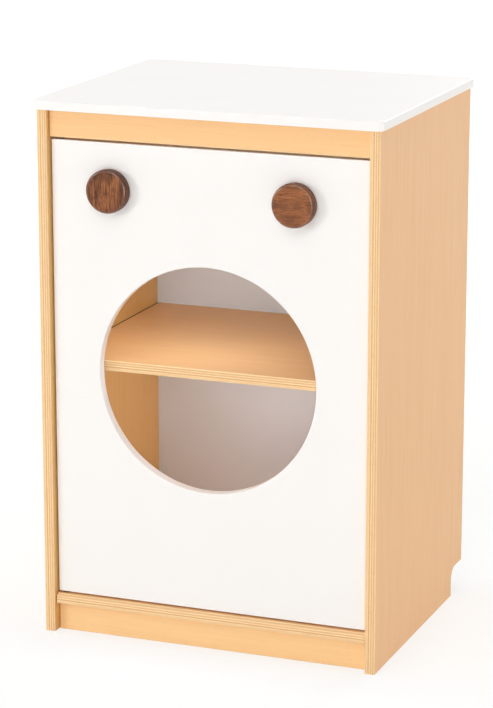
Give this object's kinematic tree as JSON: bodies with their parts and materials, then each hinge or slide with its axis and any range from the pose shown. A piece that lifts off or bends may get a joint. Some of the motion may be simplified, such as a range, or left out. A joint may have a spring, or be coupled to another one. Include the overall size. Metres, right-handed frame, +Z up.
{
  "type": "toy washing machine",
  "caption": "Plywood play washing machine: cabinet with worktop and shelf, a hinged white door with a round porthole, and turning wooden knobs.",
  "frame": {"origin": "on the floor at the centre of the outline seen from above", "axes": "+X to the right as seen from the front, +Y from the door to the back, +Z up"},
  "size_m": [0.404, 0.331, 0.61],
  "materials": {
    "birch_plywood": "clear satin lacquer",
    "white_worktop": "white laminate, satin",
    "white_door": "white laminate, satin",
    "back_board": "matt grey-beige",
    "walnut": "oiled, satin",
    "beech_dowel": "raw",
    "zinc_screw": "bright zinc",
    "hinge_steel": "ground steel",
    "nylon": "dark, smooth",
    "catch_plastic": "off-white, smooth",
    "magnet": "dark sintered",
    "brass": "turned",
    "felt": "felt"
  },
  "bodies": {
    "cabinet": {"side_panel_left": "birch_plywood", "side_panel_right": "birch_plywood", "top_board": "white_worktop", "top_rail": "birch_plywood", "rear_rail": "birch_plywood", "bottom_board": "birch_plywood", "kick_board": "birch_plywood", "kick_blocks": "birch_plywood", "shelf": "birch_plywood", "back_panel": "back_board", "top_cleat_left": "birch_plywood", "top_cleat_right": "birch_plywood", "cleat_screws": "zinc_screw", "dowels": "beech_dowel", "back_panel_screws": "zinc_screw", "hinge_bush_upper": "nylon", "hinge_bush_lower": "nylon", "catch_housing": "catch_plastic", "catch_magnet": "magnet", "catch_pole_plates": "zinc_screw", "catch_screws": "zinc_screw"},
    "door": {"door_panel": "white_door", "hinge_pin_upper": "hinge_steel", "hinge_pin_lower": "hinge_steel", "strike_plate": "zinc_screw", "strike_screws": "zinc_screw"},
    "knob_left": {"knob_left": "walnut", "knob_insert_left": "brass", "knob_bolt_left": "zinc_screw", "knob_felt_left": "felt", "knob_washer_left": "zinc_screw"},
    "knob_right": {"knob_right": "walnut", "knob_insert_right": "brass", "knob_bolt_right": "zinc_screw", "knob_felt_right": "felt", "knob_washer_right": "zinc_screw"}
  },
  "joints": [
    {"name": "door_hinge", "type": "hinge", "parent": "cabinet", "child": "door", "pos_m": [-0.1759, -0.1435, 0.306], "axis": [0, 0, -1], "range_deg": [0, 100]},
    {"name": "knob_left_turn", "type": "hinge", "parent": "door", "child": "knob_left", "pos_m": [-0.1139, -0.1555, 0.514], "axis": [0, 1, 0], "continuous": true},
    {"name": "knob_right_turn", "type": "hinge", "parent": "door", "child": "knob_right", "pos_m": [0.1014, -0.1555, 0.514], "axis": [0, 1, 0], "continuous": true}
  ]
}
